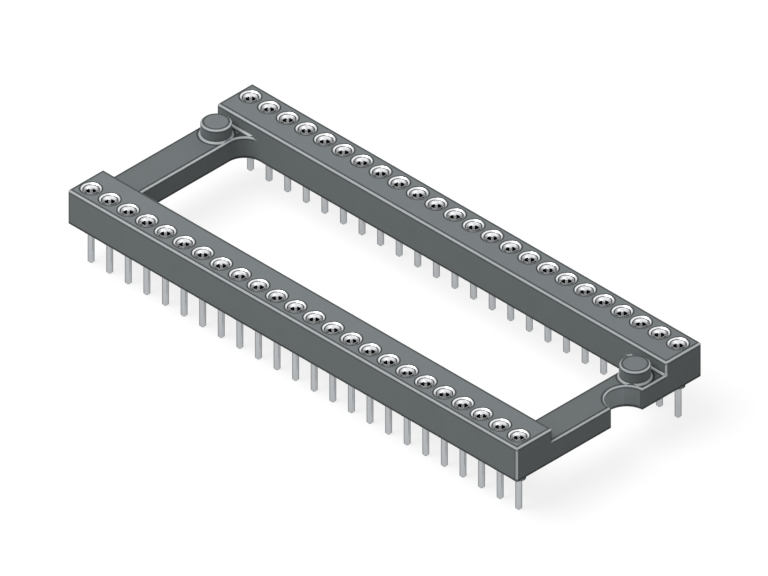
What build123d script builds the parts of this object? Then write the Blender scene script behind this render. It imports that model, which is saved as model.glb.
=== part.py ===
from build123d import *
import os

os.makedirs("parts", exist_ok=True)

# Open-frame socket for a 48-lead dual in-line device: one moulded insulator, with a turned sleeve
# and a four-finger clip at each contact place. All sizes are in millimetres.
# +X runs along the rows to the notched end, +Y goes across them to the row of contacts 1 to 24,
# and +Z points out of the contact mouths. The origin is the centre of the contact pattern on the
# board, where the shoulders of the sleeves stand.

# Contact pattern
pitch = 1.778
contacts_per_row = 24
row_spacing = 15.24

# Insulator: two tall rows joined by two lower end bars round a window
stand_off = 0.63
row_height = 2.85
row_outer_margin = 1.23
row_inner_margin = 2.20
row_end_margin = 1.053
end_bar_width = 2.70
end_bar_drop = 1.06
window_corner_radius = 1.35
edge_break = 0.12
root_break = 0.12

# Half-round notch in the +X end bar, which marks the end of contact 1
notch_radius = 1.50
notch_offset = 1.65

# Round stand-off post on each end bar
post_radius = 1.08
post_height = 1.05
post_inset = 1.47
post_offset = 3.92

# Turned sleeve, pressed into a stepped hole with its dished head flush with the row top
sleeve_radius = 0.50
sleeve_wall = 0.08
head_overhang = 0.24
head_height = 0.45
rim_width = 0.14
rim_flat = 0.04
rim_dish = 0.06
mouth_depth = 0.31
tail_radius = 0.235
tail_length = 2.57
tail_chamfer = 0.10

# Four-finger clip: its ring lies on the step in the sleeve's mouth, and a lead-in funnel rises from it
clip_thickness = 0.05
ring_overhang = 0.01
funnel_flare = 0.12
funnel_drop = 0.04
finger_count = 4
finger_width = 0.18
finger_straight = 0.10
finger_length = 1.44
finger_tip_radius = 0.13
tip_room = 0.45

# Clearances, all radial
sleeve_clearance = 0.01
head_clearance = 0.05
clip_clearance = 0.01
finger_clearance = 0.02

# Heights above the board
insulator_bottom = stand_off
row_top = stand_off + row_height
end_bar_top = row_top - end_bar_drop
head_bottom = row_top - head_height
step_height = row_top - mouth_depth
ring_top = step_height + clip_thickness
funnel_top = row_top - funnel_drop
finger_tip = step_height - finger_length
bore_bottom = finger_tip - tip_room

# Insulator outline
body_length = (contacts_per_row - 1) * pitch + 2 * row_end_margin
body_width = row_spacing + 2 * row_outer_margin
row_width = row_outer_margin + row_inner_margin
window_length = body_length - 2 * end_bar_width
window_width = row_spacing - 2 * row_inner_margin

# Radii of the sleeve and the clip
head_radius = sleeve_radius + head_overhang
mouth_radius = head_radius - rim_width
bore_radius = sleeve_radius - sleeve_wall
ring_outer_radius = mouth_radius - clip_clearance
finger_outer_radius = bore_radius - finger_clearance
finger_inner_radius = finger_outer_radius - clip_thickness
ring_inner_radius = finger_inner_radius - ring_overhang
funnel_radius = ring_inner_radius + funnel_flare
funnel_slope = funnel_flare / (funnel_top - step_height)

FROM_BELOW = (Align.CENTER, Align.CENTER, Align.MIN)


def contact_places():
    """Contacts in counting order: along the +Y row from the notched end, and back along the other."""
    half_row = (contacts_per_row - 1) * pitch / 2
    along = [half_row - i * pitch for i in range(contacts_per_row)]
    back_row = [(x, row_spacing / 2) for x in along]
    front_row = [(x, -row_spacing / 2) for x in reversed(along)]
    return back_row + front_row


def turned(*section):
    """Solid of revolution about Z, from its half section as (radius, height) points."""
    return revolve(Plane.XZ * make_face(Polyline(*section, close=True)), Axis.Z)


def eased_box(length, width, bottom, top):
    """Upright box with a small chamfer on every edge."""
    box = Pos(0, 0, bottom) * Box(length, width, top - bottom, align=FROM_BELOW)
    return chamfer(box.edges(), edge_break)


def window_cutter():
    """The window, square in its -Y corners and rounded in its +Y corners, with eased edges.

    It reaches above the bars, so that it trims the roots of what stands on them.
    """
    opening = Rectangle(window_length, window_width)
    opening = fillet(opening.vertices().group_by(Axis.Y)[-1], window_corner_radius)
    shaft = Pos(0, 0, insulator_bottom) * extrude(opening, end_bar_top - insulator_bottom)
    flare = extrude(opening, edge_break, taper=-45)
    upper_edge = Pos(0, 0, end_bar_top - edge_break) * flare
    lower_edge = Pos(0, 0, insulator_bottom + edge_break) * mirror(flare, Plane.XY)
    trim = extrude(upper_edge.faces().sort_by(Axis.Z)[-1], root_break)
    return shaft + upper_edge + lower_edge + trim


def notch_cutter():
    """Half-round notch through the end bar, with eased edges, which also trims the post's root."""
    edge_radius = notch_radius + edge_break
    tool = turned(
        (0, insulator_bottom),
        (edge_radius, insulator_bottom),
        (notch_radius, insulator_bottom + edge_break),
        (notch_radius, end_bar_top - edge_break),
        (edge_radius, end_bar_top),
        (edge_radius, end_bar_top + root_break),
        (0, end_bar_top + root_break),
    )
    return Pos(body_length / 2, notch_offset, 0) * tool


def post(side):
    """Post on one end bar, with a flared root and an eased top; side is 1 or -1 along X."""
    top = end_bar_top + post_height
    solid = turned(
        (0, insulator_bottom),
        (post_radius, insulator_bottom),
        (post_radius, end_bar_top),
        (post_radius + root_break, end_bar_top),
        (post_radius, end_bar_top + root_break),
        (post_radius, top - edge_break),
        (post_radius - edge_break, top),
        (0, top),
    )
    return Pos(side * (body_length / 2 - post_inset), post_offset, 0) * solid


def row_root(side):
    """Sloped strip where the bars' tops meet one row's inner face; side is 1 or -1 along Y."""
    inner_face = side * window_width / 2
    section = Polyline(
        (inner_face, end_bar_top),
        (inner_face - side * root_break, end_bar_top),
        (inner_face, end_bar_top + root_break),
        close=True,
    )
    return extrude(Plane.YZ * make_face(section), body_length / 2 - edge_break, both=True)


def sleeve_hole():
    """Stepped hole for one sleeve, with the recess that takes its head."""
    hole_radius = sleeve_radius + sleeve_clearance
    recess_radius = head_radius + head_clearance
    return turned(
        (0, insulator_bottom),
        (hole_radius, insulator_bottom),
        (hole_radius, head_bottom),
        (recess_radius, head_bottom),
        (recess_radius, row_top),
        (0, row_top),
    )


def insulator():
    """The moulding: a low frame round the window, two posts on it, and a tall row on each side."""
    body = eased_box(body_length, body_width, insulator_bottom, end_bar_top)
    body += [post(side) for side in (1, -1)]
    body += [row_root(side) for side in (1, -1)]
    body -= [window_cutter(), notch_cutter()]
    row = eased_box(body_length, row_width, insulator_bottom, row_top)
    row_centre = (body_width - row_width) / 2
    body += [Pos(0, side * row_centre, 0) * row for side in (1, -1)]
    hole = sleeve_hole()
    return body - [Pos(x, y, 0) * hole for x, y in contact_places()]


def sleeve():
    """Turned sleeve: dished head, mouth, blind bore, body that ends in the shoulder, and solder tail."""
    return turned(
        (0, -tail_length),
        (tail_radius - tail_chamfer, -tail_length),
        (tail_radius, tail_chamfer - tail_length),
        (tail_radius, 0),
        (sleeve_radius, 0),
        (sleeve_radius, head_bottom),
        (head_radius, head_bottom),
        (head_radius, row_top),
        (head_radius - rim_flat, row_top),
        (mouth_radius, row_top - rim_dish),
        (mouth_radius, step_height),
        (bore_radius, step_height),
        (bore_radius, bore_bottom),
        (0, bore_bottom),
    )


def clip():
    """Clip: a ring, the funnel above it, and fingers that hang from it and close in to their tips."""
    ring_and_funnel = turned(
        (ring_inner_radius, step_height),
        (ring_outer_radius, step_height),
        (ring_outer_radius, ring_top),
        (ring_inner_radius + clip_thickness * (1 + funnel_slope), ring_top),
        (funnel_radius + clip_thickness, funnel_top),
        (funnel_radius, funnel_top),
    )
    knee = step_height - finger_straight
    side_view = make_face(
        Polyline(
            (finger_outer_radius, step_height),
            (finger_outer_radius, knee),
            (finger_tip_radius + clip_thickness, finger_tip),
            (finger_tip_radius, finger_tip),
            (finger_inner_radius, knee),
            (finger_inner_radius, step_height),
            close=True,
        )
    )
    finger = extrude(Plane.XZ * side_view, finger_width / 2, both=True)
    turn = 360 / finger_count
    return ring_and_funnel + [Rot(0, 0, (i + 0.5) * turn) * finger for i in range(finger_count)]


places = contact_places()

export_step(insulator(), "parts/insulator_body.step")

one_sleeve = sleeve()
for number, (x, y) in enumerate(places, start=1):
    export_step(Pos(x, y, 0) * one_sleeve, f"parts/contact_sleeve_{number:02d}.step")

one_clip = clip()
for row_name, row in (("back", places[:contacts_per_row]), ("front", places[contacts_per_row:])):
    clips = Compound(children=[Pos(x, y, 0) * one_clip for x, y in row])
    export_step(clips, f"parts/contact_clips_{row_name}_row.step")
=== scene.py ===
import math

import bpy
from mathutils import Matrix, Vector


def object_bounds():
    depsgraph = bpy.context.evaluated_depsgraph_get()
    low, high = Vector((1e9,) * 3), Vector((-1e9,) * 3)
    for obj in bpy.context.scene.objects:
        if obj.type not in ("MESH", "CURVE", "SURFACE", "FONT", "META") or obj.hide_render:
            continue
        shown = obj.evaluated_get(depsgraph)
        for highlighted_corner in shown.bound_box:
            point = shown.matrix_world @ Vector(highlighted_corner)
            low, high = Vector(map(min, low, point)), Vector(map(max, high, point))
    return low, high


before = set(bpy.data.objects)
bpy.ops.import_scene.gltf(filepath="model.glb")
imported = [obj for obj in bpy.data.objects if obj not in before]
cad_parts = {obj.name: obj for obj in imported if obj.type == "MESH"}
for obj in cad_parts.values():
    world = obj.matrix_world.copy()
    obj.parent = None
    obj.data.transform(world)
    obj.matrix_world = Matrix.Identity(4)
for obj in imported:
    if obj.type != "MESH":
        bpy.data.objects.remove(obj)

cad_low, cad_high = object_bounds()

# Lengths are in metres, in the frame of the part: +X along the rows to the notch, +Z out of the mouths.
MM = 0.001

WHITE = (1.0, 1.0, 1.0, 1.0)
BLACK = (0.0, 0.0, 0.0, 1.0)

# Camera: a parallel view from the corner between +X and -Y, at equal angles to the three axes
VIEW_AZIMUTH = math.radians(45)
VIEW_ELEVATION = math.atan(1 / math.sqrt(2))
VIEW_WIDTH = 51.935 * MM
AIM = Vector((-0.029, -0.029, 1.658)) * MM
CAMERA_DISTANCE = 0.2
NEAREST_SEEN = 0.001
FARTHEST_SEEN = 10.0

# Light, where 1 on a face renders its colour as it is written. The key light is a vector towards the
# lamp, and a face gets the share of it that lies along the face's normal.
SKY_LIGHT = 0.30
KEY_LIGHT = (-0.20, -0.30, 0.66)
KEY_DISTANCE = 0.25
KEY_SIZE = 0.20
BACKGROUND_WHITE = 1.0

# Floor: pale by its own colour, and by a glow that only the eye and reflections see
FLOOR_SIZE = 3.0
FLOOR_ALBEDO = 0.30
FLOOR_GLOW = 0.80
FLOOR_GRAIN_SCALE = 40.0
FLOOR_GRAIN = 1.02

# Sizes of the part that its materials follow
PITCH = 1.778 * MM
ROW_OFFSET = 7.62 * MM
BODY_HALF_LENGTH = cad_high.x
BODY_HALF_WIDTH = cad_high.y
WINDOW_HALF_LENGTH = BODY_HALF_LENGTH - 2.70 * MM
WINDOW_HALF_WIDTH = BODY_HALF_WIDTH - 3.43 * MM
EDGE_BREAK = 0.12 * MM
POST_AXIS = (BODY_HALF_LENGTH - 1.47 * MM, 3.92 * MM)
POST_RADIUS = 1.08 * MM
NOTCH_AXIS = (BODY_HALF_LENGTH, 1.65 * MM)
NOTCH_RADIUS = 1.50 * MM
RECESS_RADIUS = 0.79 * MM
MOUTH_RADIUS = 0.60 * MM
BORE_RADIUS = 0.42 * MM
FINGER_WIDTH = 0.18 * MM

# Heights of the part that its materials follow
ROW_TOP = cad_high.z
BAR_TOP = ROW_TOP - 1.06 * MM
POST_TOP = BAR_TOP + 1.05 * MM
BODY_BOTTOM = ROW_TOP - 2.85 * MM
DISH_BOTTOM = ROW_TOP - 0.06 * MM
MOUTH_STEP = ROW_TOP - 0.31 * MM
RING_TOP = MOUTH_STEP + 0.05 * MM
SHOULDER_BOTTOM = 0.0

# How far a mask reaches past the face that it is for, so that rounding leaves no gap
SLACK = 0.01 * MM

# Share of a face's normal that lies along an axis: between these two on a face at a slant to the axis,
# less on one beside it, and more on one that looks along it. A level face's upward share is over LEVEL.
SLANTED = (0.3, 0.9)
LEVEL = 0.95


class Shader:
    """A node tree, with short calls that add a node and return the socket that it gives."""

    def __init__(self, owner):
        owner.use_nodes = True
        self.tree = owner.node_tree
        self.tree.nodes.clear()

    def node(self, kind, inputs=None, **settings):
        """Adds a node and returns it; each input is a value, or a socket to link."""
        made = self.tree.nodes.new(kind)
        for name, value in settings.items():
            setattr(made, name, value)
        for key, value in (inputs or {}).items():
            if isinstance(value, bpy.types.NodeSocket):
                self.tree.links.new(value, made.inputs[key])
            else:
                made.inputs[key].default_value = value
        return made

    def math(self, operation, *values):
        return self.node("ShaderNodeMath", dict(enumerate(values)), operation=operation).outputs[0]

    def mix(self, factor, first, second, blend_type="MIX"):
        """Mix of two colours, which are inputs 6 and 7 of Blender's node."""
        colours = {0: factor, 6: first, 7: second}
        return self.node("ShaderNodeMix", colours, data_type="RGBA", blend_type=blend_type).outputs[2]

    def noise(self, where, scale, detail=2.0, roughness=0.5):
        settings = {"Vector": where, "Scale": scale, "Detail": detail, "Roughness": roughness}
        return self.node("ShaderNodeTexNoise", settings).outputs["Fac"]

    def object_place(self):
        return self.node("ShaderNodeTexCoord").outputs["Object"]

    def xyz(self, vector):
        return self.node("ShaderNodeSeparateXYZ", {0: vector}).outputs

    def size(self, value):
        return self.math("ABSOLUTE", value)

    def hypotenuse(self, first, second):
        squares = self.math("MULTIPLY_ADD", first, first, self.math("MULTIPLY", second, second))
        return self.math("SQRT", squares)

    def between(self, share, low, high):
        """Low where the share is 0, high where it is 1, and in proportion elsewhere."""
        return self.math("MULTIPLY_ADD", share, high - low, low)

    def above(self, value, limit):
        return self.math("GREATER_THAN", value, limit)

    def below(self, value, limit):
        return self.math("LESS_THAN", value, limit)

    def within(self, value, low, high):
        return self.all_of(self.above(value, low), self.below(value, high))

    def any_of(self, first, *others):
        """1 where any of the masks is 1."""
        for other in others:
            first = self.math("MAXIMUM", first, other)
        return first

    def all_of(self, first, *others):
        """1 where all of the masks are 1."""
        for other in others:
            first = self.math("MULTIPLY", first, other)
        return first

    def painted(self, colour, *coats):
        """The colour, with each coat's colour over it in turn where that coat's mask is 1."""
        for mask, coat_colour in coats:
            colour = self.mix(mask, colour, coat_colour)
        return colour

    def toned(self, colour, tone):
        return self.node("ShaderNodeHueSaturation", {"Color": colour, "Value": tone}).outputs[0]


class PartShader(Shader):
    """A shader for the part, which knows the place and the true normal of the point that it colours."""

    def __init__(self, owner):
        super().__init__(owner)
        self.place = self.object_place()
        self.x, self.y, self.height = self.xyz(self.place)
        self.from_middle_x = self.size(self.x)
        self.from_middle_y = self.size(self.y)
        self.normal = self.node("ShaderNodeNewGeometry").outputs["True Normal"]
        normal_x, normal_y, self.upward = self.xyz(self.normal)
        self.facing_x = self.size(normal_x)
        self.facing_y = self.size(normal_y)
        self.level = self.above(self.upward, LEVEL)
        self.wall = self.below(self.size(self.upward), SLANTED[0])

    def from_axis(self, axis, mirrored=False):
        """Distance from an upright axis at (x, y), or from the nearer of two mirrored along X."""
        x = self.from_middle_x if mirrored else self.x
        return self.hypotenuse(self.math("SUBTRACT", x, axis[0]), self.math("SUBTRACT", self.y, axis[1]))

    def contact_offsets(self):
        """Place along and across the row, from the axis of the nearest contact."""
        half_pitch = PITCH / 2
        along = self.math("WRAP", self.math("SUBTRACT", self.x, half_pitch), half_pitch, -half_pitch)
        return along, self.math("SUBTRACT", self.from_middle_y, ROW_OFFSET)

    def contact_radius(self):
        """Distance from the axis of the nearest contact."""
        return self.hypotenuse(*self.contact_offsets())


def part_material(name):
    """A new material for the part, and the shader that it is made with."""
    material = bpy.data.materials.new(name)
    return material, PartShader(material)


def white_to_the_eye(shader):
    """1 for camera, glossy and transmission rays, and 0 for the rays that carry light to the object."""
    path = shader.node("ShaderNodeLightPath").outputs
    return shader.any_of(path["Is Camera Ray"], path["Is Glossy Ray"], path["Is Transmission Ray"])


def make_world():
    world = bpy.data.worlds.new("studio")
    bpy.context.scene.world = world
    shader = Shader(world)
    sky = shader.node("ShaderNodeBackground", {"Color": WHITE, "Strength": SKY_LIGHT})
    white = shader.node("ShaderNodeBackground", {"Color": WHITE, "Strength": BACKGROUND_WHITE})
    mixed = shader.node(
        "ShaderNodeMixShader",
        {0: white_to_the_eye(shader), 1: sky.outputs[0], 2: white.outputs[0]},
    )
    shader.node("ShaderNodeOutputWorld", {"Surface": mixed.outputs[0]})
    world.cycles.sampling_method = "NONE"


def make_key_light():
    """One large soft lamp, high on the -X and -Y side, whose power gives about KEY_LIGHT on the part."""
    towards = Vector(KEY_LIGHT)
    lamp = bpy.data.lights.new("key", "AREA")
    lamp.shape = "SQUARE"
    lamp.size = KEY_SIZE
    lamp.energy = math.pi ** 2 * KEY_DISTANCE ** 2 * towards.length
    lit = bpy.data.objects.new("key", lamp)
    lit.location = towards.normalized() * KEY_DISTANCE
    lit.rotation_euler = towards.to_track_quat("Z", "Y").to_euler()
    bpy.context.scene.collection.objects.link(lit)


def floor_material():
    """Pale and glowing from above, white to the eye where there is no shadow, and clear from below."""
    material = bpy.data.materials.new("floor")
    shader = Shader(material)
    grain = shader.noise(shader.object_place(), FLOOR_GRAIN_SCALE)
    palest = FLOOR_ALBEDO * FLOOR_GRAIN
    albedo = shader.mix(grain, (FLOOR_ALBEDO,) * 3 + (1.0,), (palest,) * 3 + (1.0,))
    pale = shader.node("ShaderNodeBsdfDiffuse", {"Color": albedo})
    glow = shader.math("MULTIPLY", white_to_the_eye(shader), FLOOR_GLOW)
    white = shader.node("ShaderNodeEmission", {"Color": WHITE, "Strength": glow})
    from_above = shader.node("ShaderNodeAddShader", {0: pale.outputs[0], 1: white.outputs[0]})
    from_below = shader.node("ShaderNodeBsdfTransparent")
    backfacing = shader.node("ShaderNodeNewGeometry").outputs["Backfacing"]
    surface = shader.node(
        "ShaderNodeMixShader",
        {0: backfacing, 1: from_above.outputs[0], 2: from_below.outputs[0]},
    )
    shader.node("ShaderNodeOutputMaterial", {"Surface": surface.outputs[0]})
    return material


def make_floor():
    """A level floor under the tips of the tails."""
    half = FLOOR_SIZE / 2
    corners = [(-half, -half, 0), (half, -half, 0), (half, half, 0), (-half, half, 0)]
    mesh = bpy.data.meshes.new("floor")
    mesh.from_pydata(corners, [], [(0, 1, 2, 3)])
    mesh.materials.append(floor_material())
    floor = bpy.data.objects.new("floor", mesh)
    floor.location.z = cad_low.z
    bpy.context.scene.collection.objects.link(floor)


def make_camera():
    back = Vector((
        math.sin(VIEW_AZIMUTH) * math.cos(VIEW_ELEVATION),
        -math.cos(VIEW_AZIMUTH) * math.cos(VIEW_ELEVATION),
        math.sin(VIEW_ELEVATION),
    ))
    data = bpy.data.cameras.new("camera")
    data.type = "ORTHO"
    data.ortho_scale = VIEW_WIDTH
    data.clip_start = NEAREST_SEEN
    data.clip_end = FARTHEST_SEEN
    camera = bpy.data.objects.new("camera", data)
    camera.location = AIM + back * CAMERA_DISTANCE
    camera.rotation_euler = (-back).to_track_quat("-Z", "Y").to_euler()
    bpy.context.scene.collection.objects.link(camera)
    bpy.context.scene.camera = camera


# Insulator: dark grey moulded plastic with a fine grain
PLASTIC = (0.209, 0.232, 0.238, 1.0)
PLASTIC_GLOSS = 0.15
PLASTIC_ROUGHNESS = (0.50, 0.66)
CLOUD_SCALE = 700.0
CLOUD_TONE = (0.90, 1.00)
SPECK_SCALE = 5200.0
SPECK_LIFT = 0.10
BUMP_HEIGHT = 0.012 * MM
BUMP_STRENGTH = 0.25
# Painted shade: the bar tops, which lie low between the rows, are darker than the rest of the tops
BAR_TOP_SHADE_TONE = 0.80
# Painted shade: the eased edges that face down are darker
UNDERSIDE_SHADE_TONE = 0.45

# Painted light: the eased edges get a painted highlight and the notch's wall a painted even tone, coloured
# from the scene's own light so that they are equally bright whatever way they face
EDGE_LIGHT = 0.50
EDGE_TINT = (0.95, 1.0, 1.03, 1.0)
ROOT_HIGHLIGHT_LIFT = 1.20
CORNER_HIGHLIGHT_LIFT = 1.20
LIGHT_LINE_HEIGHT = 0.09 * MM
# Painted light: the notch's wall is coloured to come out evenly bright
NOTCH_LIGHT = 0.16
NOTCH_TINT = (0.90, 1.0, 1.02, 1.0)
ALBEDO_LIMIT = 0.90

# Painted shade: thin dark lines beside the edges, round the recesses and along the bottom of the walls
TOP_SHADE_LINE_WIDTH = 0.15 * MM
TOP_SHADE_LINE_TONE = 0.40
WALL_SHADE_LINE_WIDTH = 0.10 * MM
WALL_SHADE_LINE_TONE = 0.55
LOW_SHADE_LINE_WIDTH = 0.28 * MM
LOW_SHADE_LINE_TONE = 0.32
RECESS_SHADE_LINE_WIDTH = 0.04 * MM


def scaled(colour, tone):
    return [tone * channel for channel in colour[:3]] + [1.0]


def light_on(shader):
    """Light that the face would get from the sky, the floor and the key lamp with nothing in the way."""
    from_sky = shader.between(shader.upward, SKY_LIGHT / 2, SKY_LIGHT)
    bounce = FLOOR_ALBEDO * (SKY_LIGHT + KEY_LIGHT[2]) / 2
    from_floor = shader.between(shader.upward, bounce, 0.0)
    facing = shader.node("ShaderNodeVectorMath", {0: shader.normal, 1: KEY_LIGHT}, operation="DOT_PRODUCT")
    from_key = shader.math("MAXIMUM", facing.outputs["Value"], 0.0)
    return shader.math("ADD", shader.math("ADD", from_sky, from_floor), from_key)


def painted_even_light(shader, wanted_edge_light, light, tint):
    """Painted light: colour that sends back the wanted light out of this light, as far as the limit lets
    it.
    """
    albedo = shader.math("MINIMUM", shader.math("DIVIDE", wanted_edge_light, light), ALBEDO_LIMIT)
    grey = shader.node("ShaderNodeCombineColor", {0: albedo, 1: albedo, 2: albedo}).outputs[0]
    return shader.mix(1.0, grey, tint, blend_type="MULTIPLY")


def row_inner_strip(shader, width):
    """Mask of a strip of this width along the rows' inner edges, and of the edges themselves."""
    return shader.within(shader.from_middle_y, WINDOW_HALF_WIDTH, WINDOW_HALF_WIDTH + EDGE_BREAK + width)


def top_shade_lines(shader):
    """Mask of the painted shade lines on the tops of the rows, the bars and the posts, and round the
    recesses.
    """
    inset = EDGE_BREAK + TOP_SHADE_LINE_WIDTH
    at_end = shader.above(shader.from_middle_x, BODY_HALF_LENGTH - inset)
    from_post = shader.from_axis(POST_AXIS, mirrored=True)
    row_or_post = shader.all_of(
        shader.above(shader.height, BAR_TOP + EDGE_BREAK),
        shader.any_of(
            at_end,
            shader.above(shader.from_middle_y, BODY_HALF_WIDTH - inset),
            row_inner_strip(shader, TOP_SHADE_LINE_WIDTH),
            shader.below(shader.contact_radius(), RECESS_RADIUS + RECESS_SHADE_LINE_WIDTH),
            shader.within(from_post, POST_RADIUS - inset, POST_RADIUS),
        ),
    )
    bar = shader.all_of(
        shader.within(shader.height, BODY_BOTTOM + EDGE_BREAK, BAR_TOP + EDGE_BREAK),
        shader.any_of(
            at_end,
            shader.below(shader.from_middle_x, WINDOW_HALF_LENGTH + inset),
            shader.above(shader.from_middle_y, WINDOW_HALF_WIDTH - inset),
            shader.below(from_post, POST_RADIUS + inset),
            shader.below(shader.from_axis(NOTCH_AXIS), NOTCH_RADIUS + inset),
        ),
    )
    return shader.all_of(shader.level, shader.any_of(row_or_post, bar))


def wall_shade_lines(shader):
    """Mask of the painted shade lines on the walls, under the upper edges and beside the upright ones."""
    inset = EDGE_BREAK + WALL_SHADE_LINE_WIDTH
    under_top = shader.above(shader.height, POST_TOP - inset)
    beside_bar = shader.all_of(
        shader.within(shader.height, BAR_TOP - inset, BAR_TOP + inset),
        shader.below(shader.from_middle_y, WINDOW_HALF_WIDTH + SLACK),
        shader.any_of(
            shader.above(shader.facing_x, SLANTED[0]),
            shader.above(shader.from_middle_x, WINDOW_HALF_LENGTH),
        ),
    )
    at_end_of_side = shader.all_of(
        shader.above(shader.facing_y, SLANTED[1]),
        shader.above(shader.from_middle_x, BODY_HALF_LENGTH - inset),
    )
    at_side_of_end = shader.all_of(
        shader.above(shader.facing_x, SLANTED[1]),
        shader.any_of(
            shader.above(shader.from_middle_y, BODY_HALF_WIDTH - inset),
            shader.all_of(
                shader.above(shader.height, BAR_TOP + EDGE_BREAK),
                row_inner_strip(shader, WALL_SHADE_LINE_WIDTH),
            ),
        ),
    )
    return shader.all_of(
        shader.wall,
        shader.any_of(under_top, beside_bar, at_end_of_side, at_side_of_end),
    )


def low_shade_line(shader):
    """Mask of the painted shade line along the bottom of the walls."""
    return shader.all_of(shader.wall, shader.below(shader.height, BODY_BOTTOM + LOW_SHADE_LINE_WIDTH))


def shade_line_tone(shader):
    """Tone of the darkest painted shade line at the point, and 1 off the lines."""
    top = shader.between(top_shade_lines(shader), 1.0, TOP_SHADE_LINE_TONE)
    wall = shader.between(wall_shade_lines(shader), 1.0, WALL_SHADE_LINE_TONE)
    low = shader.between(low_shade_line(shader), 1.0, LOW_SHADE_LINE_TONE)
    return shader.math("MINIMUM", shader.math("MINIMUM", top, wall), low)


def highlighted_upper_edges(shader):
    """Mask of the faces that lean up, which get a painted highlight: the rows', the posts' and the bars'
    edges, and all the roots.
    """
    near_a_top = shader.any_of(
        shader.above(shader.height, POST_TOP - LIGHT_LINE_HEIGHT),
        shader.within(shader.height, BAR_TOP - LIGHT_LINE_HEIGHT, BAR_TOP + EDGE_BREAK),
    )
    return shader.all_of(shader.within(shader.upward, *SLANTED), near_a_top)


def highlighted_end_corners(shader):
    """Mask of the upright eased edges at the ends, which get a painted highlight."""
    at_end = shader.above(shader.from_middle_x, BODY_HALF_LENGTH - EDGE_BREAK - SLACK)
    return shader.all_of(shader.within(shader.facing_x, *SLANTED), shader.wall, at_end)


def highlighted_row_roots(shader):
    """Mask of the band that holds the roots between the rows and the bars, whose painted highlight is
    lifted further.
    """
    return shader.all_of(
        shader.within(shader.height, BAR_TOP, BAR_TOP + EDGE_BREAK),
        shader.above(shader.from_middle_y, WINDOW_HALF_WIDTH - EDGE_BREAK),
    )


def insulator_material():
    material, shader = part_material("moulded_plastic")
    light = light_on(shader)
    highlighted_corner = highlighted_end_corners(shader)
    # Brightness of the painted highlight, lifted further on the roots and the end corners
    wanted_edge_light = EDGE_LIGHT
    for mask, lift in ((highlighted_row_roots(shader), ROOT_HIGHLIGHT_LIFT), (highlighted_corner, CORNER_HIGHLIGHT_LIFT)):
        wanted_edge_light = shader.math("MULTIPLY_ADD", mask, (lift - 1.0) * EDGE_LIGHT, wanted_edge_light)
    shaded_bar_top = shader.all_of(shader.level, shader.below(shader.height, BAR_TOP + SLACK))
    shaded_underneath = shader.within(shader.upward, -SLANTED[1], -SLANTED[0])
    # The notch's wall, which gets a painted even light
    in_notch = shader.below(shader.from_axis(NOTCH_AXIS), NOTCH_RADIUS + SLACK)
    colour = shader.painted(
        PLASTIC,
        # Painted shade on the low bar tops
        (shaded_bar_top, scaled(PLASTIC, BAR_TOP_SHADE_TONE)),
        # Painted shade on the eased edges that face down
        (shaded_underneath, scaled(PLASTIC, UNDERSIDE_SHADE_TONE)),
        # Painted light: the notch's wall is coloured to cancel its own shading
        (in_notch, painted_even_light(shader, NOTCH_LIGHT, light, NOTCH_TINT)),
        # Painted highlight on the upper eased edges, the roots and the end corners
        (shader.any_of(highlighted_upper_edges(shader), highlighted_corner), painted_even_light(shader, wanted_edge_light, light, EDGE_TINT)),
    )

    cloud = shader.noise(shader.place, CLOUD_SCALE, detail=3.0)
    speck = shader.noise(shader.place, SPECK_SCALE, detail=2.0, roughness=0.6)
    tone = shader.math("MULTIPLY_ADD", speck, SPECK_LIFT, shader.between(cloud, *CLOUD_TONE))
    # Painted shade lines darken the colour beside the edges
    tone = shader.math("MULTIPLY", tone, shade_line_tone(shader))
    bump = shader.node(
        "ShaderNodeBump",
        {"Strength": BUMP_STRENGTH, "Distance": BUMP_HEIGHT, "Height": speck},
    )
    surface = shader.node(
        "ShaderNodeBsdfPrincipled",
        {
            "Base Color": shader.toned(colour, tone),
            "Roughness": shader.between(speck, *PLASTIC_ROUGHNESS),
            "Normal": bump.outputs[0],
            "Specular IOR Level": PLASTIC_GLOSS,
        },
    )
    shader.node("ShaderNodeOutputMaterial", {"Surface": surface.outputs[0]})
    return material


# Contacts: tin-plated turned sleeves, and stamped clips in them
TIN_BRIGHT = (0.86, 0.87, 0.88, 1.0)
# Painted shade: the level rims and lips are darker than the plating
TIN_RIM_SHADE = (0.36, 0.375, 0.38, 1.0)
# Painted shade: the tails are darker than the plating
TIN_TAIL_SHADE = (0.46, 0.475, 0.49, 1.0)
# Painted shadow: the shoulders under the body are near black
TIN_SHOULDER_SHADOW = (0.12, 0.125, 0.13, 1.0)
# Painted shade: the mouth's groove, the clip's ring and its outside are darker than the plating
TIN_GROOVE_SHADE = (0.50, 0.51, 0.52, 1.0)
# Painted shade: the inside of the bore and the funnel's throat are near black
BORE_SHADE = (0.015, 0.015, 0.016, 1.0)
# Painted light: the fingers are a pale, mostly non-metal copy of the plating, so that they show lit grey
# in the shaded throat
FINGER_LIT = (0.85, 0.86, 0.87, 1.0)
FINGER_METALLIC = 0.15
THROAT_HEIGHT = 0.07 * MM
THROAT_RADIUS = 0.40 * MM
METAL_CLOUD_SCALE = 1800.0
METAL_CLOUD_TONE = (0.94, 1.06)
SLEEVE_ROUGHNESS = (0.14, 0.26)
CLIP_ROUGHNESS = (0.30, 0.45)


def metal_surface(shader, colour, roughness, metallic=1.0):
    """Plating with a lightly clouded tone and gloss, which darkens where it is seen edge-on."""
    cloud = shader.noise(shader.place, METAL_CLOUD_SCALE, detail=3.0)
    surface = shader.node(
        "ShaderNodeBsdfPrincipled",
        {
            "Base Color": shader.toned(colour, shader.between(cloud, *METAL_CLOUD_TONE)),
            "Roughness": shader.between(cloud, *roughness),
            "Metallic": metallic,
            "Specular Tint": BLACK,
        },
    )
    shader.node("ShaderNodeOutputMaterial", {"Surface": surface.outputs[0]})


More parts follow.
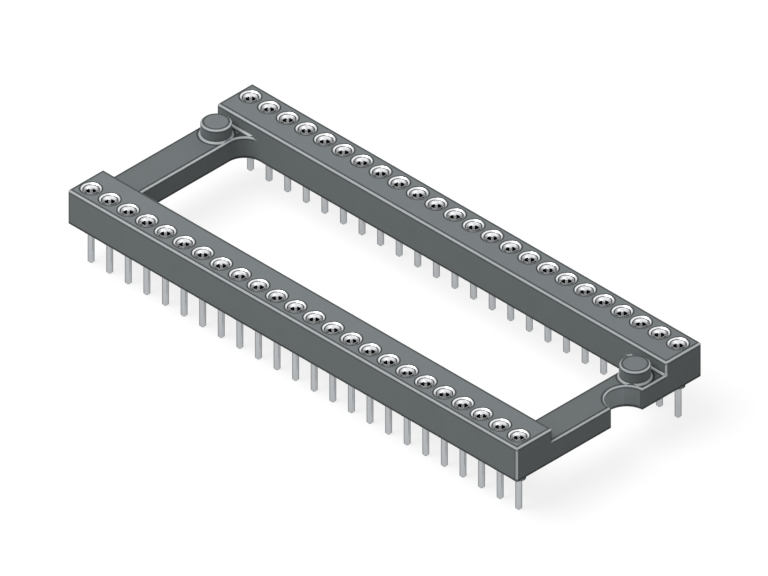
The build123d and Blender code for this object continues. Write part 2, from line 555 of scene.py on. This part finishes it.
def sleeve_material():
    """Bright dished head; painted shade makes the flat rim, the mouth, the tail, the shoulder and the bore
    darker than the plating.
    """
    material, shader = part_material("sleeve_plating")
    radius = shader.contact_radius()
    in_mouth = shader.all_of(
        shader.below(radius, MOUTH_RADIUS + SLACK),
        shader.within(shader.height, MOUTH_STEP - SLACK, DISH_BOTTOM),
    )
    in_bore = shader.all_of(
        shader.below(radius, BORE_RADIUS + SLACK),
        shader.above(shader.height, BODY_BOTTOM),
    )
    colour = shader.painted(
        TIN_BRIGHT,
        # The coats below are painted shade on the rim, the tail, the shoulder, the mouth and the bore
        (shader.level, TIN_RIM_SHADE),
        (shader.below(shader.height, SHOULDER_BOTTOM + SLACK), TIN_TAIL_SHADE),
        (shader.within(shader.height, SHOULDER_BOTTOM + SLACK, BODY_BOTTOM), TIN_SHOULDER_SHADOW),
        (in_mouth, TIN_GROOVE_SHADE),
        (in_bore, BORE_SHADE),
    )
    metal_surface(shader, colour, SLEEVE_ROUGHNESS)
    return material


def clip_material():
    """Bright funnel; painted shade makes the lip, the ring, the outside and the throat between the fingers
    darker, and the fingers are a pale, mostly non-metal copy that shows lit grey.
    """
    material, shader = part_material("clip_plating")
    ring = shader.all_of(shader.level, shader.below(shader.height, RING_TOP + SLACK))
    outside = shader.below(shader.upward, 0.0)
    finger = shader.below(shader.height, MOUTH_STEP)

    # The fingers lie on the diagonals, and painted shade makes the throat of the funnel dark between them
    along, across = shader.contact_offsets()
    diagonals = (shader.math("ADD", along, across), shader.math("SUBTRACT", along, across))
    from_finger = shader.math("MINIMUM", *(shader.size(diagonal) for diagonal in diagonals))
    throat_shade = shader.all_of(
        shader.above(from_finger, FINGER_WIDTH / math.sqrt(2)),
        shader.within(shader.height, MOUTH_STEP - SLACK, MOUTH_STEP + THROAT_HEIGHT),
        shader.below(shader.hypotenuse(along, across), THROAT_RADIUS),
    )
    colour = shader.painted(
        TIN_BRIGHT,
        # The coats below are painted shade, and the fingers a paler copy that stands in for light
        (shader.level, TIN_RIM_SHADE),
        (shader.any_of(outside, ring), TIN_GROOVE_SHADE),
        (finger, FINGER_LIT),
        (throat_shade, BORE_SHADE),
    )
    metal_surface(shader, colour, CLIP_ROUGHNESS, shader.between(finger, 1.0, FINGER_METALLIC))
    return material


def dress(kind, material):
    """Gives its material to each CAD node whose name starts with this kind."""
    for name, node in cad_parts.items():
        if name.startswith(kind):
            node.data.materials.clear()
            node.data.materials.append(material)


bpy.context.scene.view_settings.view_transform = "Standard"
make_camera()
make_world()
make_key_light()
make_floor()

dress("insulator_body", insulator_material())
dress("contact_sleeve", sleeve_material())
dress("contact_clips", clip_material())
